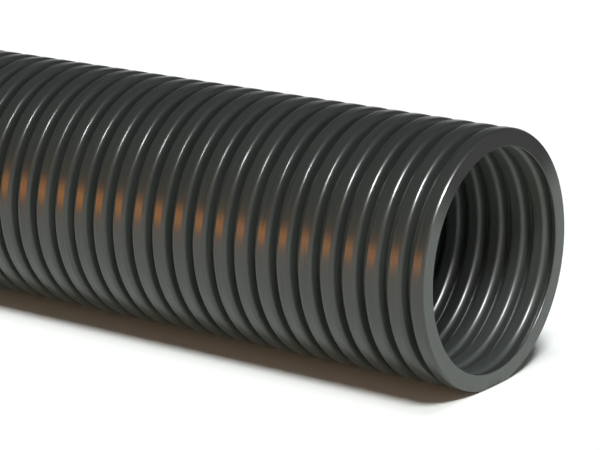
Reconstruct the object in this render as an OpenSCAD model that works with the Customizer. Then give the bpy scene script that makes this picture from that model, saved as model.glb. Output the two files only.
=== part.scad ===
// Pool vacuum hose: a corrugated plastic hose with one open cut end, put away in a tied
// two-layer coil, and a swivel cuff on its other end.
// The open end faces +X. The origin is on the hose's axis, in the plane of the open end.

/* [Hose] */
// Length of the whole hose along its axis, without the cuff
hose_length = 5000; // [4400:100:6000]
// Inside diameter, between the flat tops of the inner ridges
hose_bore = 38; // [36:0.5:40]
// Thickness of the wall, the same all along its folds
wall = 0.8; // [0.6:0.05:0.9]
// Height of a rib over the floor of its groove
rib_height = 2.3; // [1.8:0.1:2.6]
// Distance from one rib to the next
rib_pitch = 4.4; // [4.2:0.02:5]
// Width of a groove between its side walls
groove_w = 1.35; // [1.2:0.05:1.8]
// Radius of a rib's two outer corners
rib_round = 0.85; // [0.3:0.05:1]
// Radius of the fillet in a groove's two corners
groove_round = 0.15; // [0.1:0.01:0.18]
// Radius of the two corners of an inner ridge
nose_round = 0.4; // [0.2:0.05:0.5]
// Depth into the front wall of the first rib at which the hose is cut
cut_in = 0.2; // [0.05:0.05:0.3]
// Depth of the flat where the hose lies on its weight
flat_depth = 0.5; // [0.3:0.1:0.8]

/* [Lengths of hose] */
// Ribs on the open end
end_ribs = 26; // [20:1:30]
// Ribs on the straight run from the open end to the coil
run_ribs = 64; // [50:1:70]
// Ribs on the tail that the cuff holds
tail_ribs = 12; // [11:1:14]

/* [Coil] */
// Turns in the coil
coil_turns = 3; // [3]
// Ribs shown on one turn
turn_ribs = 30; // [24:6:36]
// Least gap between neighbouring turns
loop_gap = 0.8; // [0.5:0.1:2]
// Angle over which the spiral eases in, turns back and eases out
ease = 10; // [5:1:15]

/* [Cuff] */
// Inside diameter of the socket
socket_bore = 38.6; // [38.2:0.1:39.4]
// Depth of the socket from its mouth to its stop
socket_depth = 47; // [38:1:55]
// Thickness of the cuff's wall round the socket
socket_wall = 4.2; // [3.5:0.1:5]
// Thickness of the wall of the swivel housing
housing_wall = 3; // [2.6:0.1:3.6]
// Number of fins round the neck of the cuff
fins = 12; // [8:1:18]
// Thickness of a fin
fin_w = 2.4; // [1.6:0.1:3]
// Length of the collar behind the end of the hose
collar_length = 34; // [30:1:38]
// Thickness of the collar's sleeve over the ribs
collar_wall = 2.6; // [2.4:0.1:3.2]
// Height of the collar's flange over its sleeve
flange_height = 3; // [2.6:0.1:3.4]
// Thickness of the flange
flange_w = 4; // [3:0.1:5]
// Running clearance all round between parts that turn on each other
run_clear = 0.08; // [0.06:0.01:0.1]
// Diameter of the seal's round section
seal_section = 2.4; // [2:0.1:2.6]

/* [Ties] */
// Width of a tie
tie_w = 20; // [12:1:22]
// Thickness of a tie
tie_t = 1; // [0.8:0.1:1]
// Length of the tie's end that is pressed down over itself
tie_lap = 38; // [25:1:45]

/* [Hidden] */

// Radii of the hose: bore, floor of a groove from outside, top of a rib.
bore_r = hose_bore / 2;
floor_r = bore_r + wall;
rib_r = floor_r + rib_height;
rib_w = rib_pitch - groove_w;
ground = flat_depth - rib_r;
corner_steps = 3;
quarter = 90;

// Radii that fit each other from the hose outwards.
seat_clear = 0.15;
sleeve_bore_r = rib_r + seat_clear;
sleeve_r = sleeve_bore_r + collar_wall;
flange_r = sleeve_r + flange_height;
housing_bore_r = flange_r + run_clear;
cuff_r = housing_bore_r + 1.2 + housing_wall;

// Lengths of hose meet in the middle of a groove. The open end is cut at the front of its
// first rib.
land = groove_w / 2;
cut_at = land + cut_in;
end_length = end_ribs * rib_pitch - cut_at;
run_length = run_ribs * rib_pitch;
tail_length = tail_ribs * rib_pitch;
straight_ribs = 2;
straight_length = 10 * rib_pitch;
coil_x = -(end_length + run_length + straight_length);

// An arc as points: centre c, radius r, from angle a0 to a1.
function arc(c, r, a0, a1) =
    [for (i = [0:corner_steps]) let (a = a0 + (a1 - a0) * i / corner_steps)
        c + r * [cos(a), sin(a)]];

// The outside of one rib, as points [along, radius] from the middle of the groove in front
// of it, at distance x.
function rib_outside(x) =
    let (front = x + land, back = front + rib_w)
    concat(
        [[x, floor_r]],
        arc([front - groove_round, floor_r + groove_round], groove_round, -quarter, 0),
        arc([front + rib_round, rib_r - rib_round], rib_round, 2 * quarter, quarter),
        arc([back - rib_round, rib_r - rib_round], rib_round, quarter, 0),
        arc([back + groove_round, floor_r + groove_round], groove_round,
            2 * quarter, 3 * quarter));

// The inside of the same rib: a wall's thickness in from the outside. The ridges between
// the hollows of the ribs are flat on top.
function rib_inside(x) =
    let (front = x + land + wall, back = x + land + rib_w - wall, r = nose_round)
    concat(
        [[x, bore_r]],
        arc([front - r, bore_r + r], r, -quarter, 0),
        [[front, rib_r - wall], [back, rib_r - wall]],
        arc([back + r, bore_r + r], r, 2 * quarter, 3 * quarter));

function reversed(list) = [for (i = [len(list) - 1:-1:0]) list[i]];
function turned(points) = [for (p = points) [p[1], p[0]]];

// The wall of a straight length of hose with a number of ribs, as one closed outline.
function hose_outline(ribs) =
    let (outside = [for (k = [0:ribs - 1]) each rib_outside(k * rib_pitch)],
         inside = [for (k = [0:ribs - 1]) each rib_inside(k * rib_pitch)],
         last = ribs * rib_pitch)
    concat(outside, [[last, floor_r], [last, bore_r]], reversed(inside));

// A straight length of hose from the origin along +Z. The cut end starts inside a rib.
module straight_hose(ribs) {
    rotate_extrude($fn = 96) polygon(turned(hose_outline(ribs)));
}
module cut_hose(ribs) {
    rotate_extrude($fn = 96) translate([0, -cut_at]) difference() {
        polygon(turned(hose_outline(ribs)));
        translate([0, -1]) square([2 * rib_r, 1 + cut_at]);
    }
}

// Turns a shape that runs along +Z so that it runs along -X from the place p.
module along_hose(p) {
    translate(p) rotate([0, -90, 0]) children();
}

// ---- The route of the coil ----

// The spiral runs in for half of the angle and out again for the other half. turns_in(a)
// is how far it has come in at angle a, in degrees of steady spiral.
coil_angle = 360 * coil_turns;
half_angle = coil_angle / 2;
loop_pitch = (2 * rib_r + loop_gap) / (1 - ease / 360);
layer_height = 2 * rib_r + loop_gap;
function soft_length(x) = sqrt(x * x + ease * ease);
function near_end(a) = soft_length(half_angle) - soft_length(a - half_angle);
function turns_in(a) = soft_length(near_end(a)) - ease;
function smooth_step(t) = let (u = min(1, max(0, t))) u * u * (3 - 2 * u);

// The radius at the start of the spiral follows from the length of hose to put away.
coil_ribs = coil_turns * turn_ribs;
arc_length = hose_length - end_length - run_length - tail_length - 2 * straight_length;
mean_in = [for (k = [0:coil_ribs]) turns_in(k * 360 / turn_ribs)]
        * [for (k = [0:coil_ribs]) 1] / (coil_ribs + 1);
coil_r = arc_length / (2 * PI * coil_turns) + loop_pitch * mean_in / 360;

// The coil is drawn with flat sides that lie on the hose's round, so its corners stand out.
sides = 8;
corner_r = rib_r / cos(180 / sides);

// The cuff is bigger round than the hose, so the last half turn rises until the cuff
// clears the turn that it lies on.
housing_back = 10;
lie_at = straight_length + tail_length - housing_back;
lie_aside = coil_r - sqrt(coil_r * coil_r - lie_at * lie_at);
cuff_lift = sqrt(pow(cuff_r + corner_r + seat_clear, 2) - lie_aside * lie_aside)
    - layer_height;

// The hose's axis at u, counted in ribs shown from the start of the coiled length.
function coil_point(u) =
    u < straight_ribs
        ? [coil_x + straight_length * (1 - u / straight_ribs), 0, 0]
        : u > straight_ribs + coil_ribs
        ? [coil_x - straight_length * (u - straight_ribs - coil_ribs) / straight_ribs,
           0, layer_height + cuff_lift]
        : let (a = (u - straight_ribs) * 360 / turn_ribs,
               r = coil_r - loop_pitch * turns_in(a) / 360,
               climb = smooth_step((a - half_angle + quarter) / (2 * quarter)),
               rise = smooth_step((a - coil_angle + 2 * quarter) / (2 * quarter)))
          [coil_x - r * sin(a), r * cos(a) - coil_r,
           layer_height * climb + cuff_lift * rise];
coil_end = 2 * straight_ribs + coil_ribs;

function unit(v) = v / norm(v);
function coil_way(u) =
    let (d = 0.02)
    unit(coil_point(min(coil_end, u + d)) - coil_point(max(0, u - d)));

// A ring of the hose with flat sides at radius r from p, square to the way it runs, with
// nothing under the height low.
function hose_ring(p, way, r, low = ground) =
    let (side = unit(cross([0, 0, 1], way)), top = cross(way, side))
    [for (i = [0:sides - 1])
        let (a = (i + 0.5) * 360 / sides,
             q = p + r / cos(180 / sides) * (cos(a) * side + sin(a) * top))
        [q[0], q[1], max(q[2], low)]];

// Triangles between two rings of points that start at numbers i and j.
function band(i, j) =
    [for (k = [0:sides - 1])
        let (n = (k + 1) % sides)
        each [[i + k, j + k, j + n], [i + k, j + n, i + n]]];

// A tube from two lists of rings: the outside's and the bore's. They share both ends.
module ringed_tube(outside, bore) {
    n_out = len(outside);
    n_in = len(bore);
    start_in = n_out * sides;
    polyhedron(
        points = concat([for (ring = outside) each ring], [for (ring = bore) each ring]),
        faces = concat(
            [for (k = [0:n_out - 2]) each band((k + 1) * sides, k * sides)],
            [for (k = [0:n_in - 2]) each band(start_in + k * sides,
                                              start_in + (k + 1) * sides)],
            band(0, start_in),
            band(start_in + (n_in - 1) * sides, (n_out - 1) * sides)),
        convexity = 20);
}

// The rings next to a tie lie on the tie, and all others lie on the ground.
tie_angles = [60, 180, 300];
function beside_tie(u) =
    min([for (t = tie_angles) abs((u - straight_ribs) * 360 / turn_ribs % 360 - t)])
        < 360 / turn_ribs;
coil_outside = [for (k = [0:2 * coil_end])
    hose_ring(coil_point(k / 2), coil_way(k / 2), k % 2 == 0 ? floor_r : rib_r,
              beside_tie(k / 2) ? ground + tie_t : ground)];
coil_bore = [for (k = [0:coil_end]) hose_ring(coil_point(k), coil_way(k), bore_r)];

// Least gap between the coil and itself, between points a turn apart, and its length.
turn_rings = 2 * turn_ribs;
loop_gaps = [for (k = [0:2 * coil_end - turn_rings + 1]) for (m = [-1:1])
    let (n = k + turn_rings + m)
    if (n <= 2 * coil_end)
        min([for (p = coil_outside[k]) for (q = coil_outside[n]) norm(p - q)])];
axis_lengths = [for (k = [1:2 * coil_end])
    norm(coil_point(k / 2) - coil_point((k - 1) / 2))];
coil_length = axis_lengths * [for (k = axis_lengths) 1];
echo(least_gap_of_coil = min(loop_gaps));
echo(hose_length_made = end_length + run_length + tail_length + coil_length);
echo(mean_diameter_of_coil = 2 * (coil_r - loop_pitch * mean_in / 360));
echo(height_of_cuff_axis = layer_height + cuff_lift);

// ---- Pieces of the hose ----

hose_colour = [0.13, 0.14, 0.14];

module hose_end() {
    color(hose_colour) difference() {
        along_hose([0, 0, 0]) cut_hose(end_ribs);
        translate([-end_length - 1, -rib_r, ground - rib_r])
            cube([end_length + 2, 2 * rib_r, rib_r]);
    }
}

// The run has a ring at the middle of each rib's top and one at each groove's floor.
module hose_run() {
    start = -end_length;
    places = concat(
        [[0, floor_r]],
        [for (k = [0:run_ribs - 1]) each
            [[(k + 0.5) * rib_pitch, rib_r], [(k + 1) * rib_pitch, floor_r]]]);
    way = [-1, 0, 0];
    color(hose_colour) ringed_tube(
        [for (s = places) hose_ring([start - s[0], 0, 0], way, s[1])],
        [for (x = [0, run_length]) hose_ring([start - x, 0, 0], way, bore_r)]);
}

module hose_coil() {
    color(hose_colour) ringed_tube(coil_outside, coil_bore);
}

// ---- The swivel cuff, drawn along its own axis: 0 is the cut end of the hose ----

tail_x = coil_x - straight_length;
axis_z = layer_height + cuff_lift;
hose_cut_x = tail_x - tail_length;
module at_cuff() {
    along_hose([hose_cut_x, 0, axis_z]) children();
}

spigot_r = sleeve_r - 0.4;
spigot_length = 8;
spigot_bore_r = bore_r + wall / 2;
seal_r = seal_section / 2;
seal_groove_r = spigot_r + run_clear - seal_section - 0.03;
seal_groove_w = seal_section + 0.3;
seal_at = spigot_length / 2;
socket_r = socket_bore / 2;
socket_out_r = socket_r + socket_wall;
stop_w = 3;
stop_r = socket_r - 1.4;
end_gap = 0.3;
socket_back = spigot_length + end_gap + stop_w;
mouth = socket_back + socket_depth;
neck_start = 6;
neck_end = 24;

module tube(r_out, r_in, from, to) {
    translate([0, 0, from]) difference() {
        cylinder(r = r_out, h = to - from, $fn = 96);
        translate([0, 0, -1]) cylinder(r = r_in, h = to - from + 2, $fn = 96);
    }
}

module hose_tail() {
    color(hose_colour) along_hose([tail_x, 0, axis_z]) straight_hose(tail_ribs);
}

// A sleeve over the last ribs, with inner ridges that sit in the grooves, a flange that the
// housing turns on, and a spigot in front that carries the seal.
ridge_w = groove_w - 0.4;
ridge_r = floor_r + seat_clear;
ridges = floor((collar_length - 3) / rib_pitch);
module cuff_collar() {
    color([0.10, 0.10, 0.11]) at_cuff() {
        difference() {
            rotate_extrude($fn = 96) polygon([
                [sleeve_bore_r, -collar_length + 0.8],
                [sleeve_bore_r + 0.8, -collar_length],
                [sleeve_r - 1, -collar_length],
                [sleeve_r, -collar_length + 1],
                [sleeve_r, -flange_w],
                [flange_r, -flange_w],
                [flange_r, 0],
                [spigot_r, 0],
                [spigot_r, spigot_length],
                [spigot_bore_r, spigot_length],
                [spigot_bore_r, seat_clear],
                [sleeve_bore_r, seat_clear]]);
            tube(spigot_r + 1, seal_groove_r, seal_at - seal_groove_w / 2,
                 seal_at + seal_groove_w / 2);
        }
        for (k = [1:ridges])
            tube(sleeve_bore_r + 0.5, ridge_r,
                 -k * rib_pitch - ridge_w / 2, -k * rib_pitch + ridge_w / 2);
    }
}

module seal_ring() {
    color([0.05, 0.05, 0.05]) at_cuff() translate([0, 0, seal_at])
        rotate_extrude($fn = 96) translate([seal_groove_r + seal_r + 0.01, 0])
            circle(r = seal_r - 0.01, $fn = 32);
}

// The ring that the flange turns against, and the split ring that holds it in.
glide_w = 1.6;
ring_w = 2.2;
glide_at = -flange_w - 0.1 - glide_w;
ring_at = glide_at - 0.1 - ring_w;
module glide_ring() {
    color([0.85, 0.85, 0.82]) at_cuff()
        tube(flange_r - 0.2, sleeve_r + run_clear, glide_at, glide_at + glide_w);
}

ring_depth = 1;
split_w = 7;
module retaining_ring() {
    color([0.75, 0.76, 0.78]) at_cuff() difference() {
        tube(housing_bore_r + ring_depth - 0.1, sleeve_r + 0.3, ring_at, ring_at + ring_w);
        translate([0, -split_w / 2, ring_at - 1])
            cube([flange_r + ring_depth + 2, split_w, ring_w + 2]);
    }
}

// The outline of the cuff's outside, from the back of the housing to the mouth.
module cuff_outline(reach) {
    polygon([
        [reach, -housing_back],
        [cuff_r - 1.2, -housing_back],
        [cuff_r, -housing_back + 1.2],
        [cuff_r, neck_start],
        [socket_out_r + 1.5, neck_end],
        [socket_out_r, neck_end + 3],
        [socket_out_r - 0.3, mouth - 7],
        [socket_out_r + 0.8, mouth - 6],
        [socket_out_r + 0.8, mouth - 1],
        [socket_out_r - 0.2, mouth],
        [reach, mouth]]);
}

// The fins stand in the hollow of the neck, out to the line of the housing.
module cuff_fins() {
    intersection() {
        rotate_extrude($fn = 96) polygon([
            [socket_out_r - 1, neck_start - 4],
            [cuff_r - 0.4, neck_start - 4],
            [cuff_r - 0.4, neck_start + 2],
            [socket_out_r + 0.6, neck_end + 16],
            [socket_out_r - 1, neck_end + 16]]);
        for (k = [0:fins - 1])
            rotate([0, 0, (k + 0.5) * 360 / fins])
                translate([socket_out_r - 2, -fin_w / 2, neck_start - 4])
                    cube([cuff_r, fin_w, neck_end + 20]);
    }
}

module swivel_cuff() {
    color([0.09, 0.09, 0.10]) at_cuff() difference() {
        union() {
            rotate_extrude($fn = 96) cuff_outline(stop_r);
            cuff_fins();
        }
        // the housing, the seal's bore, the stop and the socket
        translate([0, 0, -housing_back - 1])
            cylinder(r = housing_bore_r, h = housing_back + 1 + end_gap, $fn = 96);
        translate([0, 0, ring_at - 0.1])
            cylinder(r = housing_bore_r + ring_depth, h = ring_w + 0.2, $fn = 96);
        cylinder(r = spigot_r + run_clear, h = spigot_length + end_gap, $fn = 96);
        translate([0, 0, socket_back])
            cylinder(r = socket_r, h = socket_depth + 1, $fn = 96);
        translate([0, 0, mouth - 1.2])
            cylinder(r1 = socket_r, r2 = socket_r + 1.3, h = 1.3, $fn = 96);
        // the way through behind the stop
        translate([0, 0, -1]) cylinder(r = stop_r, h = socket_back + 2, $fn = 96);
    }
}

// ---- Ties: a band round the whole bundle of turns, lapped over itself on top ----

// The places where turns pass under a tie, at its middle and its two edges, as [distance
// from the coil's middle in the tie's own plane, height].
inner_turn_r = coil_r - loop_pitch * turns_in(half_angle) / 360;
function crossings(a0) =
    let (edge = atan(tie_w / 2 / inner_turn_r), outwards = [-sin(a0), cos(a0), 0])
    [for (da = [-edge, 0, edge]) for (a = [a0 + da:360:coil_angle])
        let (p = coil_point(straight_ribs + a * turn_ribs / 360) - [coil_x, -coil_r, 0])
        [p * outwards, p[2]]];

module round_bundle(a0, r) {
    hull() for (p = crossings(a0)) translate(p) circle(r = r, $fn = 48);
}

// How far the coil's corners stand out at the edge of a tie, where it is on its way from
// a groove to a rib, on the turn with the least radius.
to_next_rib = min(1, tie_w / 2 / (PI * inner_turn_r / turn_ribs));
under_tie_r = (floor_r + rib_height * to_next_rib) / cos(180 / sides);
tie_clear = 0.6;
module tie_profile(a0) {
    inner_r = max(rib_r, under_tie_r) + tie_clear;
    far = 2 * coil_r;
    across = crossings(a0) * [1, 0];
    middle = (min(across) + max(across)) / 2;
    difference() {
        union() {
            intersection() {
                round_bundle(a0, inner_r + tie_t);
                translate([0, ground]) square([far, far]);
            }
            intersection() {
                round_bundle(a0, inner_r + 2 * tie_t);
                translate([middle - tie_lap / 2, 0]) square([tie_lap, far]);
            }
        }
        intersection() {
            round_bundle(a0, inner_r);
            translate([0, ground + tie_t]) square([far, far]);
        }
    }
}

module tie(a0) {
    color([0.12, 0.12, 0.13])
        translate([coil_x, -coil_r, 0]) rotate([0, 0, quarter + a0]) rotate([quarter, 0, 0])
            linear_extrude(height = tie_w, center = true) tie_profile(a0);
}

module tie_1() { tie(tie_angles[0]); }
module tie_2() { tie(tie_angles[1]); }
module tie_3() { tie(tie_angles[2]); }

hose_end();
hose_run();
hose_coil();
hose_tail();
cuff_collar();
seal_ring();
glide_ring();
retaining_ring();
swivel_cuff();
tie_1();
tie_2();
tie_3();
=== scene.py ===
"""A corrugated pool vacuum hose with one open cut end, the rest of it wound into a tied coil
that ends in a swivel cuff, on a pale studio floor. Sizes are in metres."""

import math

import bpy
import numpy as np
from mathutils import Matrix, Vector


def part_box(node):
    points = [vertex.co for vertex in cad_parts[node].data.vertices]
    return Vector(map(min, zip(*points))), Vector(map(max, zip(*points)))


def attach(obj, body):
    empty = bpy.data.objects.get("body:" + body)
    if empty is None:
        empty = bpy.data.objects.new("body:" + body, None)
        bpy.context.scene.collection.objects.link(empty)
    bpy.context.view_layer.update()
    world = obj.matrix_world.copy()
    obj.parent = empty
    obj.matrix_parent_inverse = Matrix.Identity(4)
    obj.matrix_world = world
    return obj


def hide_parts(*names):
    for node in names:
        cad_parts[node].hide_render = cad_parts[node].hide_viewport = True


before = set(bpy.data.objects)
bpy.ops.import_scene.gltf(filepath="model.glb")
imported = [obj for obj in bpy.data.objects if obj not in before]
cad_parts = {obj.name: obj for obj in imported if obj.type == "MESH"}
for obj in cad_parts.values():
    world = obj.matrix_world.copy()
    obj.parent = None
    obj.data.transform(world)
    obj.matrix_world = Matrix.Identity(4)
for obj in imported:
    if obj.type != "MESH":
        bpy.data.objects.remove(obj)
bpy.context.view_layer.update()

# ---- Sizes of the hose ----

BORE_R = 0.019
WALL = 0.0008
FLOOR_R = BORE_R + WALL
RIB_R = FLOOR_R + 0.0023
PITCH = 0.0044
GROOVE_W = 0.00135
RIB_W = PITCH - GROOVE_W
LAND = GROOVE_W / 2
CUT_IN = 0.0002
CUT_AT = LAND + CUT_IN
RIB_ROUND = 0.00085
GROOVE_ROUND = 0.00015
NOSE_ROUND = 0.00085
FLAT_DEPTH = 0.0005
GROUND = FLAT_DEPTH - RIB_R
HOSE_LENGTH = 5.0
SAWN_ROUND = 0.00006
RING_REST = 0.00005

END_RIBS = 26
RUN_RIBS = 64
TAIL_RIBS = 12
END_LENGTH = END_RIBS * PITCH - CUT_AT
RUN_LENGTH = RUN_RIBS * PITCH
TAIL_LENGTH = TAIL_RIBS * PITCH
EASE_IN_RIBS = 10
STRAIGHT_LENGTH = EASE_IN_RIBS * PITCH
RUN_X = -(END_LENGTH + RUN_LENGTH)
COIL_X = RUN_X - STRAIGHT_LENGTH
TAIL_X = COIL_X - STRAIGHT_LENGTH
CUT_X = TAIL_X - TAIL_LENGTH

# ---- The route of the coil ----

COIL_TURNS = 3
TURN_RIBS = 30
LOOP_GAP = 0.0008
EASE = 10.0
COIL_ANGLE = 360.0 * COIL_TURNS
HALF_ANGLE = COIL_ANGLE / 2
LOOP_PITCH = (2 * RIB_R + LOOP_GAP) / (1 - EASE / 360)
LAYER_HEIGHT = 2 * RIB_R + LOOP_GAP
TIE_ANGLES = (60.0, 180.0, 300.0)
TIE_W = 0.020
TIE_T = 0.001


def soft_length(x):
    """The length of x, rounded off near nought: the root of x squared plus EASE squared."""
    return np.sqrt(x * x + EASE * EASE)


def turns_in(a):
    """How far the spiral has come in at angle a, in degrees of steady spiral: the soft
    minimum of the angle from either end."""
    near_end = soft_length(HALF_ANGLE) - soft_length(a - HALF_ANGLE)
    return soft_length(near_end) - EASE


def smooth_step(t):
    """3 t squared less 2 t cubed, held between 0 and 1."""
    u = np.clip(t, 0, 1)
    return u * u * (3 - 2 * u)


MEAN_IN = float(turns_in(np.arange(COIL_TURNS * TURN_RIBS + 1) * 360.0 / TURN_RIBS).mean())
ARC_LENGTH = HOSE_LENGTH - END_LENGTH - RUN_LENGTH - TAIL_LENGTH - 2 * STRAIGHT_LENGTH
COIL_R = ARC_LENGTH / (2 * math.pi * COIL_TURNS) + LOOP_PITCH * MEAN_IN / 360
AXIS_Z = sum(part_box("swivel_cuff")[k].z for k in (0, 1)) / 2
CUFF_LIFT = AXIS_Z - LAYER_HEIGHT


def coil_route(a):
    """Points of the hose's middle at angles a of the coil. The radius comes in and goes out
    again by LOOP_PITCH a turn. The height climbs one layer half way, and lifts at the end so
    that the cuff clears the turn under it."""
    r = COIL_R - LOOP_PITCH * turns_in(a) / 360
    t = np.radians(a)
    climb = smooth_step((a - HALF_ANGLE + 90) / 180)
    rise = smooth_step((a - COIL_ANGLE + 180) / 180)
    return np.stack([COIL_X - r * np.sin(t), r * np.cos(t) - COIL_R,
                     LAYER_HEIGHT * climb + CUFF_LIFT * rise], axis=1)


def straight_route(x0, x1, z, n):
    """n points from x0 to x1 at height z."""
    x = np.linspace(x0, x1, n)
    return np.stack([x, np.zeros(n), np.full(n, z)], axis=1)


def line_along(points, distances):
    """Points at these distances along a line of points, and its direction there."""
    steps = np.linalg.norm(np.diff(points, axis=0), axis=1)
    along = np.concatenate([[0.0], np.cumsum(steps)])
    at = np.stack([np.interp(distances, along, points[:, k]) for k in range(3)], axis=1)
    ways = np.gradient(points, along, axis=0)
    way = np.stack([np.interp(distances, along, ways[:, k]) for k in range(3)], axis=1)
    return at, way / np.linalg.norm(way, axis=1)[:, None]


# ---- Camera ----


def placed(right, up, place):
    """The matrix of a thing at a place, with its right side and top towards these ways."""
    right = np.array(right, float) / np.linalg.norm(right)
    up = up - right * np.dot(up, right)
    up /= np.linalg.norm(up)
    back = np.cross(right, up)
    return Matrix([[right[k], up[k], back[k], place[k]] for k in range(3)] + [[0, 0, 0, 1]])


def studio_camera():
    """A long lens in front of the open end, a little above it, that looks along the hose."""
    data = bpy.data.cameras.new("camera")
    data.sensor_width, data.lens = 36.0, 149.4
    data.clip_start, data.clip_end = 0.01, 20.0
    camera = bpy.data.objects.new("camera", data)
    bpy.context.scene.collection.objects.link(camera)
    camera.matrix_world = placed((0.8067, 0.5909, 0.0), (-0.1515, 0.2068, 0.9666),
                                 (0.20697, -0.33739, 0.11075))
    bpy.context.scene.camera = camera


studio_camera()

# ---- Making meshes ----


def new_piece(name, points, faces, material, normals=None, maps=None):
    """A mesh object at the origin. faces is a list of arrays of rows of corners, all faces
    are smooth, and maps holds named vectors for each point, which materials read."""
    mesh = bpy.data.meshes.new(name)
    corners = np.concatenate([f.ravel() for f in faces])
    counts = np.concatenate([np.full(len(f), f.shape[1]) for f in faces])
    mesh.vertices.add(len(points))
    mesh.vertices.foreach_set("co", np.asarray(points, np.float32).ravel())
    mesh.loops.add(len(corners))
    mesh.loops.foreach_set("vertex_index", corners.astype(np.int32))
    mesh.polygons.add(len(counts))
    starts = np.concatenate([[0], np.cumsum(counts)[:-1]])
    mesh.polygons.foreach_set("loop_start", starts.astype(np.int32))
    mesh.update(calc_edges=True)
    mesh.polygons.foreach_set("use_smooth", np.ones(len(counts), bool))
    for key, values in (maps or {}).items():
        kept = mesh.attributes.new(key, "FLOAT_VECTOR", "POINT")
        kept.data.foreach_set("vector", np.asarray(values, np.float32).ravel())
    mesh.materials.append(material)
    if normals is not None:
        mesh.normals_split_custom_set_from_vertices(np.asarray(normals).tolist())
    piece = bpy.data.objects.new(name, mesh)
    bpy.context.scene.collection.objects.link(piece)
    return piece


def grid_faces(first, rings, sides):
    """Four-cornered faces between closed rings of points, numbered from first. They point
    outwards where the rings' points turn about the way from ring to ring."""
    i = first + np.arange(rings - 1)[:, None] * sides
    k = np.arange(sides)[None, :]
    n = (k + 1) % sides
    return np.stack([i + k, i + n, i + sides + n, i + sides + k], axis=2).reshape(-1, 4)


def join_rings(a, sides_a, b, sides_b):
    """Faces from a ring of points that starts at number a to one that starts at b. Where
    one ring has a whole number of times more points, they are three-cornered."""
    if sides_a == sides_b:
        k = np.arange(sides_a)
        n = (k + 1) % sides_a
        return np.stack([a + k, a + n, b + n, b + k], axis=1)
    fine, coarse, sides = (a, b, sides_b) if sides_a > sides_b else (b, a, sides_a)
    ratio = max(sides_a, sides_b) // sides
    k = np.arange(sides)[:, None]
    step = np.arange(ratio)[None, :]
    m = k * ratio + step
    near = (k + (step >= (ratio + 1) // 2)) % sides
    fans = np.stack([fine + m, fine + (m + 1) % (sides * ratio), coarse + near], axis=2)
    k = k.ravel()
    middle = k * ratio + (ratio + 1) // 2
    gaps = np.stack([fine + middle, coarse + (k + 1) % sides, coarse + k], axis=1)
    both = np.concatenate([fans.reshape(-1, 3), gaps])
    return both if sides_a > sides_b else both[:, ::-1]


# ---- The hose ----


def arc(centre, radius, a0, a1, steps, sign=1.0):
    """Rows of [along, radius, normal along, normal outwards] on an arc from a0 to a1
    degrees. With sign -1 the normal points to the arc's centre."""
    a = np.radians(np.linspace(a0, a1, steps + 1))
    c, s = np.cos(a), np.sin(a)
    return np.stack([centre[0] + radius * c, centre[1] + radius * s, sign * c, sign * s], 1)


def rib_outside(round_steps, fillet_steps):
    """One rib from outside, as rows of [along, radius, normal along, normal outwards] from
    the middle of a groove: fillet, rounded corner, flat top, rounded corner, fillet."""
    back = LAND + RIB_W
    g, r = GROOVE_ROUND, RIB_ROUND
    return np.concatenate([
        arc((LAND - g, FLOOR_R + g), g, -90, 0, fillet_steps, -1.0),
        arc((LAND + r, RIB_R - r), r, 180, 90, round_steps),
        arc((back - r, RIB_R - r), r, 90, 0, round_steps),
        arc((back + g, FLOOR_R + g), g, 180, 270, fillet_steps, -1.0)])


def rib_inside(nose_steps):
    """The same rib from inside: the corner of a flat-topped ridge, the hollow of the rib,
    the corner of the next ridge."""
    front, back = LAND + WALL, LAND + RIB_W - WALL
    r, cut, top = NOSE_ROUND, 0.00012, RIB_R - WALL
    return np.concatenate([
        arc((front - r, BORE_R + r), r, -90, 0, nose_steps),
        [[front, top - cut, 1, 0], [front + cut, top, 0, -1],
         [back - cut, top, 0, -1], [back, top - cut, -1, 0]],
        arc((back + r, BORE_R + r), r, 180, 270, nose_steps)])


def plain_rib_inside():
    """A simpler hollow of a rib, for where only the bore's far part is seen."""
    front, back = LAND + WALL, LAND + RIB_W - WALL
    lean = NOSE_ROUND / 2
    return np.array([[front, RIB_R - WALL, 0.6, -0.8], [back, RIB_R - WALL, -0.6, -0.8],
                     [back + lean, BORE_R, -0.6, -0.8],
                     [PITCH + front - lean, BORE_R, 0.6, -0.8]])


def plain_rib_outside():
    """A rib of three rings, for the coil, where there are a thousand of them."""
    lean = 0.00025
    return np.array([[0.0, FLOOR_R, 0, 1], [LAND + lean, RIB_R, -0.6, 0.8],
                     [LAND + RIB_W - lean, RIB_R, 0.6, 0.8]])


def cut_by(rib, start):
    """The rows of a rib that lie past start, after one that is moved up to it, so that it
    keeps the shape of the rib where it is cut."""
    k = int(np.argmax(rib[:, 0] > start))
    if k == 0:
        return rib
    a, b = rib[k - 1], rib[k]
    t = (start - a[0]) / (b[0] - a[0])
    return np.concatenate([[a + (b - a) * t], rib[k:]])


def ribs_along(rib, count, start=0.0, pitch=PITCH):
    """The rows of one rib, repeated count times a pitch apart from start."""
    rows = np.tile(rib, (count, 1))
    rows[:, 0] += start + np.repeat(np.arange(count), len(rib)) * pitch
    return rows


def under_ties(at):
    """How much higher than the ground a ring at each point lies, because a tie is there."""
    t = np.radians(TIE_ANGLES)[None, :]
    x, y = at[:, :1] - COIL_X, at[:, 1:2] + COIL_R
    across = x * np.cos(t) + y * np.sin(t)
    outwards = y * np.cos(t) - x * np.sin(t)
    near = (abs(across) < TIE_W / 2 + 0.002) & (outwards > 0) & (outwards < COIL_R + RIB_R)
    return near.any(axis=1) * (TIE_T + RING_REST)


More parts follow.
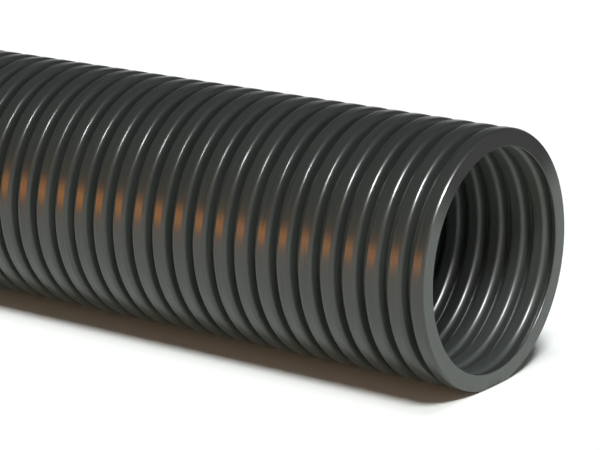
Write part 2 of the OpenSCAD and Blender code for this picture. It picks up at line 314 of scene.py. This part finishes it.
def rings_round(route, rows, sides):
    """Rings of a hose, as a grid [ring, side] of points, normals and hose coordinates. The
    point at angle t of the ring at distance s is the route's point at s plus its radius
    times (side cos t + top sin t), and none lies lower than what the hose lies on. Radii of
    a ring with few sides are between its corners and the middles of its sides."""
    at, way = line_along(route, rows[:, 0])
    side = np.cross([0.0, 0.0, 1.0], way)
    side /= np.linalg.norm(side, axis=1)[:, None]
    top = np.cross(way, side)
    t = np.arange(sides) * 2 * math.pi / sides
    out = side[:, None] * np.cos(t)[None, :, None] + top[:, None] * np.sin(t)[None, :, None]
    radius = rows[:, 1] * 2 / (1 + math.cos(math.pi / sides))
    points = at[:, None] + radius[:, None, None] * out
    normals = rows[:, 3, None, None] * out + rows[:, 2, None, None] * way[:, None]
    low = (GROUND + under_ties(at))[:, None]
    under = points[..., 2] < low
    points[..., 2] = np.maximum(points[..., 2], low)
    normals[under] = (0.0, 0.0, -1.0)
    flat = np.stack([np.broadcast_to(rows[:, :1], under.shape),
                     rows[:, 1:2] * np.cos(t), rows[:, 1:2] * np.sin(t)], axis=2)
    return points, normals, flat


def hose_shell(name, route, strips, material):
    """A closed wall of hose. strips holds (rows, sides) in order round the wall's section:
    out along the outside, across the far end, back along the inside and across the near
    end. Each strip is a grid, and each is joined to the next."""
    made, faces, ends, first = [], [], [], 0
    for rows, sides in strips:
        inside = np.zeros((len(rows), sides, 3)) + float(rows[:, 3].mean() < -0.05)
        made.append([g.reshape(-1, 3) for g in (*rings_round(route, rows, sides), inside)])
        faces.append(grid_faces(first, len(rows), sides))
        ends.append((first, first + (len(rows) - 1) * sides, sides))
        first += len(rows) * sides
    for k, (_, last, sides) in enumerate(ends):
        start, _, next_sides = ends[(k + 1) % len(ends)]
        faces.append(join_rings(last, sides, start, next_sides))
    points, normals, flats, inside = (np.concatenate(g) for g in zip(*made))
    maps = {"hose_map": flats, "hose_inside": inside}
    return new_piece(name, points, faces, material, normals, maps)


def cut_face(s, facing, outer, inner, outer_round, inner_round):
    """Rows of a cut end of the wall at distance s, with its two corners rounded off by
    these radii. facing is -1 at the near end and 1 at the far end."""
    a = np.radians(np.linspace(90, 0, 4))
    c, z = np.cos(a), np.sin(a)
    out = np.stack([s - facing * outer_round * (1 - c), outer - outer_round * (1 - z),
                    facing * c, z], axis=1)
    within = np.stack([s - facing * inner_round * (1 - c), inner + inner_round * (1 - z),
                       facing * c, -z], axis=1)[::-1]
    rows = np.concatenate([out, within])
    return rows if facing > 0 else rows[::-1]


def straight_hose(material):
    """The stretch from the open end to the coil. The ribs of the open end are fine, with
    dense points round each ring, and the others are plainer, with half as many."""
    dense = 80
    length = END_LENGTH + RUN_LENGTH
    route = straight_route(0.0, -length, 0.0, 200)
    begin = -CUT_AT
    outside, inside = rib_outside(4, 2), rib_inside(3)
    outer_round, inner_round = 0.0001, 0.0003
    first_out = cut_by(outside, CUT_AT + outer_round)
    first_in = cut_by(inside, CUT_AT + inner_round)
    end_face = cut_face(0.0, -1, first_out[0, 1], BORE_R, outer_round, inner_round)
    end_face[-1, 2:], end_face[0, 2:] = first_out[0, 2:], first_in[0, 2:]
    strips = [
        (ribs_along(first_out[1:], 1, begin), dense),
        (ribs_along(outside, END_RIBS - 1, begin + PITCH), dense),
        (ribs_along(rib_outside(1, 1), RUN_RIBS, END_LENGTH), dense // 2),
        (cut_face(length, 1, FLOOR_R, BORE_R, SAWN_ROUND, SAWN_ROUND), dense // 2),
        (ribs_along(plain_rib_inside(), RUN_RIBS, END_LENGTH)[::-1][1:], dense // 2),
        (ribs_along(inside, END_RIBS - 1, begin + PITCH)[::-1], dense),
        (ribs_along(first_in[1:], 1, begin)[::-1], dense),
        (end_face, dense)]
    piece = hose_shell("hose_straight", route, strips, material)
    return piece, straight_route(0.0, -length, 0.0, 60)


def coiled_hose(material):
    """The wound stretch, from the straight one to the cut end in the cuff's collar. The near
    and far ribs at its straight ends have more sides than those between, whose bore, which
    can't be seen, is a smooth liner. The pitch is fitted to a whole number of ribs."""
    angles = np.linspace(0.0, COIL_ANGLE, 2161)
    route = np.concatenate([straight_route(RUN_X, COIL_X, 0.0, 20)[:-1], coil_route(angles),
                            straight_route(COIL_X, CUT_X, AXIS_Z, 30)[1:]])
    length = np.linalg.norm(np.diff(route, axis=0), axis=1).sum()
    count = round(length / PITCH)
    pitch = length / count
    near, far, sides = EASE_IN_RIBS, EASE_IN_RIBS + TAIL_RIBS, 48
    few = sides // 2
    middle = count - near - far
    far_start = (near + middle) * pitch
    liner = np.arange(near + 2, near + middle - 2, 6) * pitch
    zeros = np.zeros(len(liner))
    liner = np.stack([liner, zeros + BORE_R, zeros, zeros - 1], axis=1)
    strips = [
        (ribs_along(rib_outside(1, 1), near, 0.0, pitch), sides),
        (ribs_along(plain_rib_outside(), middle, near * pitch, pitch), few),
        (ribs_along(rib_outside(1, 1), far, far_start, pitch), sides),
        (cut_face(length, 1, FLOOR_R, BORE_R, SAWN_ROUND, SAWN_ROUND), sides),
        (ribs_along(plain_rib_inside(), far, far_start, pitch)[::-1][1:], sides),
        (liner[::-1], few),
        (ribs_along(plain_rib_inside(), near, 0.0, pitch)[::-1], sides),
        (cut_face(0.0, -1, FLOOR_R, BORE_R, SAWN_ROUND, SAWN_ROUND), sides)]
    piece = hose_shell("hose_coiled", route, strips, material)
    return piece, line_along(route, np.linspace(0.0, length, 400))[0], length


# ---- The ties ----

TIE_LAP = 0.038
TIE_IN = RIB_R + 0.0012
INNER_TURN_R = COIL_R - LOOP_PITCH * float(turns_in(np.array(HALF_ANGLE))) / 360


def band_line(tie_angle, steps):
    """The inside of a band round the turns, as they lie at its middle and its two edges.
    For each way round it is the middle of the turn that lies furthest that way, plus TIE_IN
    that way, and it runs straight from turn to turn. Gives steps points [outwards, height]
    from half a lap before the top's middle, round once and on to half a lap past it, the
    way out of the bundle at each, the share of TIE_T by which the lap lies higher, and the
    distance along the band."""
    edge = math.degrees(math.atan(TIE_W / 2 / INNER_TURN_R))
    turns = tie_angle + 360.0 * np.arange(COIL_TURNS)
    at = coil_route((turns[:, None] + [-edge, 0, edge]).ravel())
    t = math.radians(tie_angle)
    outwards = (at[:, 1] + COIL_R) * math.cos(t) - (at[:, 0] - COIL_X) * math.sin(t)
    middles = np.stack([outwards, at[:, 2]], axis=1)
    phi = np.radians(np.linspace(90, -270, 1441))
    ways = np.stack([np.cos(phi), np.sin(phi)], axis=1)
    line = middles[np.argmax(ways @ middles.T, axis=1)] + TIE_IN * ways
    along = np.concatenate([[0], np.cumsum(np.linalg.norm(np.diff(line, axis=0), axis=1))])
    once = along[-1]
    fine = np.linspace(0, once, 2000)
    fine = fine[np.interp(fine, along, ways[:, 1]) > 0.7]
    middle = (outwards.max() + outwards.min()) / 2
    start = fine[np.argmin(abs(np.interp(fine, along, line[:, 0]) - middle))]
    q = np.linspace(0, once + TIE_LAP, steps)
    s = (start - TIE_LAP / 2 + q) % once
    points, out = (np.stack([np.interp(s, along, g[:, k]) for k in (0, 1)], axis=1)
                   for g in (line, ways))
    return points, out, smooth_step((q - once + 0.008) / 0.008), q


def tie_strap(name, tie_angle, material):
    """A flat band of cloth TIE_W wide and TIE_T thick. The point of its section at w across
    and h through it is the band line's point, plus h and the lap's rise outwards, plus w
    along the hose, and the band lies flat on the ground."""
    steps, half = 260, TIE_W / 2
    across = np.array([0.0003 - half, 0.001 - half, 0, half - 0.001, half - 0.0003])
    w = np.concatenate([across, [half], across[::-1], [-half]])
    h = np.repeat([TIE_T, TIE_T / 2, 0.0, TIE_T / 2], [5, 1, 5, 1])
    count = len(w)
    line, out, lap, q = band_line(tie_angle, steps)
    rise = h + 1.05 * TIE_T * lap[:, None]
    flat = line[:, None] + out[:, None] * rise[..., None]
    z = np.maximum(flat[..., 1], GROUND + TIE_T - h)
    t = math.radians(tie_angle)
    x = -flat[..., 0] * math.sin(t) - w * math.cos(t)
    y = flat[..., 0] * math.cos(t) - w * math.sin(t)
    points = np.stack([x + COIL_X, y - COIL_R, z], axis=2).reshape(-1, 3)
    k = np.arange(count)
    ends = np.stack([k, (steps - 1) * count + k[::-1]])
    strap_map = np.stack(np.broadcast_arrays(q[:, None], w, h), axis=2).reshape(-1, 3)
    return new_piece(name, points, [grid_faces(0, steps, count)[:, ::-1], ends], material,
                     None, {"strap_map": strap_map})


# ---- Finishes ----


def finish_named(name):
    """A new material, its node tree and its shader."""
    material = bpy.data.materials.new(name)
    material.use_nodes = True
    return material, material.node_tree, material.node_tree.nodes["Principled BSDF"]


def add(tree, kind, inputs=None, **settings):
    """A node with these settings. inputs holds a number, a vector or another node's output
    for its sockets, by name or number. Gives the node's first output."""
    node = tree.nodes.new("ShaderNode" + kind)
    for key, value in settings.items():
        setattr(node, key, value)
    for key, value in (inputs or {}).items():
        if isinstance(value, bpy.types.NodeSocket):
            tree.links.new(value, node.inputs[key])
        else:
            node.inputs[key].default_value = value
    return node.outputs[0]


def times(tree, a, b):
    """a times b."""
    return add(tree, "Math", {0: a, 1: b}, operation="MULTIPLY")


def plus(tree, a, b):
    """a plus b."""
    return add(tree, "Math", {0: a, 1: b}, operation="ADD")


def between(tree, value, low, high, at_low, at_high):
    """at_low where value is low or less, at_high where it is high or more, and a smooth
    step between them."""
    return add(tree, "MapRange", {"Value": value, "From Min": low, "From Max": high,
                                  "To Min": at_low, "To Max": at_high},
               interpolation_type="SMOOTHSTEP")


def blend(tree, share, a, b):
    """a where share is 0 and b where it is 1."""
    return add(tree, "MapRange", {"Value": share, "To Min": a, "To Max": b})


def noise(tree, place, a_metre, detail=2.0, roughness=0.5):
    """Noise from 0 to 1 with about this many grains a metre along place's three ways."""
    scaled = add(tree, "VectorMath", {0: place, 1: a_metre}, operation="MULTIPLY")
    return add(tree, "TexNoise", {"Vector": scaled, "Scale": 1.0, "Detail": detail,
                                  "Roughness": roughness})


def tinted(tree, value, tint):
    """A colour: value times tint."""
    return add(tree, "MixRGB", {"Fac": 1.0, "Color1": value, "Color2": (*tint, 1)},
               blend_type="MULTIPLY")


def give(tree, shader, colour, roughness, height, depth):
    """Links a colour, a roughness and a bump of this depth to the shader."""
    tree.links.new(colour, shader.inputs["Base Color"])
    tree.links.new(roughness, shader.inputs["Roughness"])
    tree.links.new(add(tree, "Bump", {"Height": height, "Distance": depth}),
                   shader.inputs["Normal"])


def hose_plastic():
    """Extruded black plastic. The ribs' tops and the ridges of the bore, which lie furthest
    from the wall's middle radius, are drawn smooth and deep black. The hollows between are
    duller and painted a lighter grey as painted fill light, and fine streaks run round. The
    cut end, down to face_depth, is sawn: lighter, dull and scored. Towards its top it is
    less shiny and rougher, and painted shade makes it darker."""
    middle_r, face_depth = 0.0203, 0.00004
    material, tree, shader = finish_named("hose_plastic")
    place = add(tree, "Attribute", attribute_name="hose_map").node.outputs["Vector"]
    parts = add(tree, "SeparateXYZ", {0: place}).node.outputs
    off = add(tree, "VectorMath", {0: place, 1: (0.0, 1.0, 1.0)}, operation="MULTIPLY")
    r = add(tree, "VectorMath", {0: off}, operation="LENGTH").node.outputs["Value"]
    off_middle = add(tree, "Math", {0: plus(tree, r, -middle_r)}, operation="ABSOLUTE")
    streaks = noise(tree, place, (3300.0, 66.0, 66.0), 3.0, 0.6)
    clouds = noise(tree, place, (90.0, 45.0, 45.0))
    inside = add(tree, "Attribute", attribute_name="hose_inside").node.outputs["Fac"]
    # Painted fill light: the grooves and the hollows of the bore get a lighter grey than the
    # ribs' tops and the ridges, standing in for light that reaches into them.
    bore = between(tree, off_middle, 0.0008, 0.0013, 0.062, 0.045)
    out = between(tree, off_middle, 0.0007, 0.0015, 0.035, 0.027)
    skin_with_painted_fill = times(tree, blend(tree, inside, out, bore),
                 plus(tree, times(tree, streaks, 0.7), plus(tree, times(tree, clouds, 0.3), 0.5)))
    rings = add(tree, "CombineXYZ", {0: r, 1: parts["Y"], 2: parts["Z"]})
    scores = noise(tree, rings, (5200.0, 90.0, 90.0), 3.0, 0.7)
    height = add(tree, "Math", {0: parts["Z"], 1: r}, operation="DIVIDE")
    top = between(tree, height, 0.35, 0.8, 0.0, 1.0)
    # Painted shade: the cut face's colour goes from 0.054 down to nearly black towards its top,
    # where less bounced light would reach it.
    sawn = times(tree, blend(tree, top, 0.054, 0.003),
                 plus(tree, times(tree, scores, 0.6), 0.7))
    is_cut = add(tree, "Math", {0: parts["X"], 1: face_depth}, operation="LESS_THAN")
    colour = tinted(tree, blend(tree, is_cut, skin_with_painted_fill, sawn), (0.86, 1.02, 0.95))
    dull = plus(tree, between(tree, off_middle, 0.0007, 0.0015, 0.46, 0.24),
                times(tree, streaks, 0.1))
    shine = blend(tree, is_cut, 0.5, blend(tree, top, 0.5, 0.32))
    tree.links.new(shine, shader.inputs["Specular IOR Level"])
    give(tree, shader, colour, blend(tree, is_cut, dull, blend(tree, top, 0.5, 0.7)),
         blend(tree, is_cut, streaks, scores), 0.00002)
    return material


def moulded(name, value, tint, roughness, grain, depth):
    """Moulded plastic or rubber: a fine even grain, faint clouds in its colour, and faint
    scuffs that are duller."""
    material, tree, shader = finish_named(name)
    place = add(tree, "TexCoord").node.outputs["Object"]
    fine = noise(tree, place, (grain, grain, grain), 3.0, 0.6)
    clouds = noise(tree, place, (70.0, 70.0, 70.0))
    scuffs = between(tree, noise(tree, place, (60.0, 420.0, 420.0), 4.0, 0.6), 0.5, 0.7, 0, 1)
    shade = plus(tree, times(tree, clouds, 0.4 * value), 0.8 * value)
    shade = plus(tree, shade, times(tree, scuffs, 0.15 * value))
    dull = plus(tree, times(tree, fine, 0.12), roughness - 0.06)
    give(tree, shader, tinted(tree, shade, tint), plus(tree, dull, times(tree, scuffs, 0.1)),
         fine, depth)
    return material


def ring_steel():
    """Bright spring steel, brushed round the cuff's axis: fine lines by the distance from
    the axis and along it, drawn out round it."""
    material, tree, shader = finish_named("ring_steel")
    shader.inputs["Metallic"].default_value = 1.0
    place = add(tree, "TexCoord").node.outputs["Object"]
    centred = add(tree, "Mapping", {"Vector": place, "Location": (0.0, 0.0, -AXIS_Z)})
    parts = add(tree, "SeparateXYZ", {0: centred}).node.outputs
    off = add(tree, "VectorMath", {0: centred, 1: (0.0, 1.0, 1.0)}, operation="MULTIPLY")
    r = add(tree, "VectorMath", {0: off}, operation="LENGTH").node.outputs["Value"]
    turned = add(tree, "CombineXYZ", {0: plus(tree, r, parts["X"]), 1: parts["Y"], 2: parts["Z"]})
    lines = noise(tree, turned, (9000.0, 60.0, 60.0), 3.0, 0.7)
    shade = plus(tree, times(tree, lines, 0.12), 0.64)
    give(tree, shader, tinted(tree, shade, (0.98, 0.99, 1.0)),
         plus(tree, times(tree, lines, 0.14), 0.24), lines, 0.000008)
    return material


def tie_webbing():
    """Black woven hook and loop tape: threads up and down through each other every 0.8 mm,
    a tight edge with a row of stitches, and a fuzz of loops that lightens it a little."""
    material, tree, shader = finish_named("tie_webbing")
    shader.inputs["Sheen Weight"].default_value = 0.1
    shader.inputs["Sheen Roughness"].default_value = 0.5
    place = add(tree, "Attribute", attribute_name="strap_map").node.outputs["Vector"]
    parts = add(tree, "SeparateXYZ", {0: place}).node.outputs
    thread, stitch_length = 0.0016, 0.0026
    turn = 2 * math.pi / thread
    ups = add(tree, "Math", {0: times(tree, parts["X"], turn)}, operation="SINE")
    overs = add(tree, "Math", {0: times(tree, parts["Y"], turn)}, operation="SINE")
    weave = times(tree, ups, overs)
    fuzz = noise(tree, place, (2600.0, 2600.0, 2600.0), 3.0, 0.7)
    from_middle = add(tree, "Math", {0: parts["Y"]}, operation="ABSOLUTE")
    edge = between(tree, from_middle, TIE_W / 2 - 0.0016, TIE_W / 2 - 0.0012, 0, 1)
    stitch = add(tree, "Math", {0: times(tree, parts["X"], 2 * math.pi / stitch_length)},
                 operation="SINE")
    height = plus(tree, blend(tree, edge, weave, stitch), times(tree, fuzz, 1.4))
    shade = plus(tree, times(tree, height, 0.008), 0.013)
    give(tree, shader, tinted(tree, shade, (1.0, 1.0, 1.08)),
         plus(tree, times(tree, fuzz, 0.2), 0.7), height, 0.00025)
    return material


def paint(node, material):
    """Gives a CAD node a material."""
    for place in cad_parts[node].material_slots:
        place.material = material


hose_finish = hose_plastic()
tie_finish = tie_webbing()
paint("cuff_collar", moulded("collar_plastic", 0.045, (1, 1, 1.04), 0.42, 1800.0, 0.00003))
paint("swivel_cuff", moulded("cuff_plastic", 0.034, (1, 1, 1.04), 0.48, 2600.0, 0.00005))
paint("seal_ring", moulded("seal_rubber", 0.03, (1, 1, 1), 0.6, 3200.0, 0.00002))
paint("glide_ring", moulded("glide_plastic", 0.84, (1, 1, 0.97), 0.35, 1500.0, 0.00001))
paint("retaining_ring", ring_steel())

# ---- The hose's pieces ----

hose_straight, straight_line = straight_hose(hose_finish)
hose_coiled, coiled_line, coiled_length = coiled_hose(hose_finish)
for piece, nodes in ((hose_straight, ("hose_end", "hose_run")),
                     (hose_coiled, ("hose_coil", "hose_tail"))):
    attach(piece, "hose")
    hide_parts(*nodes)
for number, tie_angle in enumerate(TIE_ANGLES, 1):
    strap = tie_strap(f"tie_strap_{number}", tie_angle, tie_finish)
    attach(strap, "hose")
    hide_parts(f"tie_{number}")

# ---- Studio ----


def floor():
    """A wide plain floor."""
    material, _, shader = finish_named("studio_floor")
    shader.inputs["Base Color"].default_value = (0.93, 0.975, 0.96, 1)
    shader.inputs["Roughness"].default_value = 0.9
    shader.inputs["Specular IOR Level"].default_value = 0.0
    half, z = 8.0, GROUND - 0.0001
    points = np.array([[x, y, z] for x in (-half, half) for y in (-half, half)])
    piece = new_piece("floor", points, [np.array([[0, 2, 3, 1]])], material)
    return piece


def new_lamp(name, kind, back, place, parts="both", **settings):
    """A lamp at a place that shines away from the direction back, and isn't seen itself.
    parts says what it gives: highlights, the body's own colour, or both."""
    data = bpy.data.lights.new(name, kind)
    for key, value in settings.items():
        setattr(data, key, value)
    lamp = bpy.data.objects.new(name, data)
    right = np.cross((0.0, 0.0, 1.0), back)
    lamp.matrix_world = placed(right, np.cross(back, right), place)
    lamp.visible_camera = False
    lamp.visible_glossy = parts != "colour"
    lamp.visible_diffuse = parts != "highlights"
    bpy.context.scene.collection.objects.link(lamp)
    return lamp


def sun(name, back, strength, angle, parts="both", colour=(1, 1, 1)):
    """A lamp far away in the direction back. It is soft over this many radians."""
    return new_lamp(name, "SUN", back, back, parts, energy=strength, angle=angle, color=colour)


def keep_off(lamp, piece, pass_through=False):
    """The lamp lights everything but this piece, and may shine through it."""
    group = bpy.data.collections.new(lamp.name + "_leaves_out")
    group.objects.link(piece)
    group.collection_objects[0].light_linking.link_state = "EXCLUDE"
    lamp.light_linking.receiver_collection = group
    if pass_through:
        lamp.light_linking.blocker_collection = group


def studio_world():
    """Light from all round, by height: a white backdrop a little way up from the floor's
    edge, and a dim room above it."""
    world = bpy.data.worlds.new("studio")
    world.use_nodes = True
    tree = world.node_tree
    place = add(tree, "TexCoord").node.outputs["Generated"]
    up = add(tree, "SeparateXYZ", {0: place}).node.outputs["Z"]
    ramp = add(tree, "ValToRGB", {"Fac": up}).node
    stops = ((0.0, (1.0, 0.98, 0.95, 1)), (0.10, (1.0, 0.99, 0.97, 1)),
             (0.17, (0.3, 0.295, 0.29, 1)), (0.25, (0.13, 0.13, 0.13, 1)),
             (0.5, (0.07, 0.07, 0.07, 1)))
    ramp.color_ramp.elements[0].position, ramp.color_ramp.elements[0].color = stops[0]
    ramp.color_ramp.elements[1].position, ramp.color_ramp.elements[1].color = stops[-1]
    for height, colour in stops[1:-1]:
        ramp.color_ramp.elements.new(height).color = colour
    tree.links.new(ramp.outputs["Color"], tree.nodes["Background"].inputs["Color"])
    bpy.context.scene.world = world


ground = floor()
sun("front_light", (0.35, -0.315, 0.88), 2.8, 0.26, "colour")
sun("top_light", (0.05, -0.1, 0.99), 0.7, 0.3, "colour")
keep_off(sun("side_light", (0.558, -0.317, 0.767), 2.5, 0.08, "highlights"), ground)
keep_off(sun("end_light", (0.85, -0.35, 0.4), 1.0, 1.0, "colour"), ground)
keep_off(sun("under_fill", (0.25, -0.6, -0.76), 1.8, 1.0, "colour", (1.0, 0.88, 0.68)),
         ground, pass_through=True)
sun("warm_fill", (0.2, -0.88, 0.42), 0.24, 0.8, "both", (1.0, 0.36, 0.02))
keep_off(new_lamp("bore_light", "SPOT", (0.177, -0.1, 0.233), (0.167, -0.095, 0.230),
                  "highlights", energy=9.0, spot_size=0.16, spot_blend=0.3,
                  shadow_soft_size=0.01), ground)
new_lamp("warm_lamp", "AREA", (-0.61, -0.79, 0.05), (-0.100, -0.101, 0.009), energy=0.0021,
         color=(1.0, 0.34, 0.045), shape="RECTANGLE", size=0.12, size_y=0.025, spread=0.45)
studio_world()
bpy.context.scene.view_settings.view_transform = "Standard"
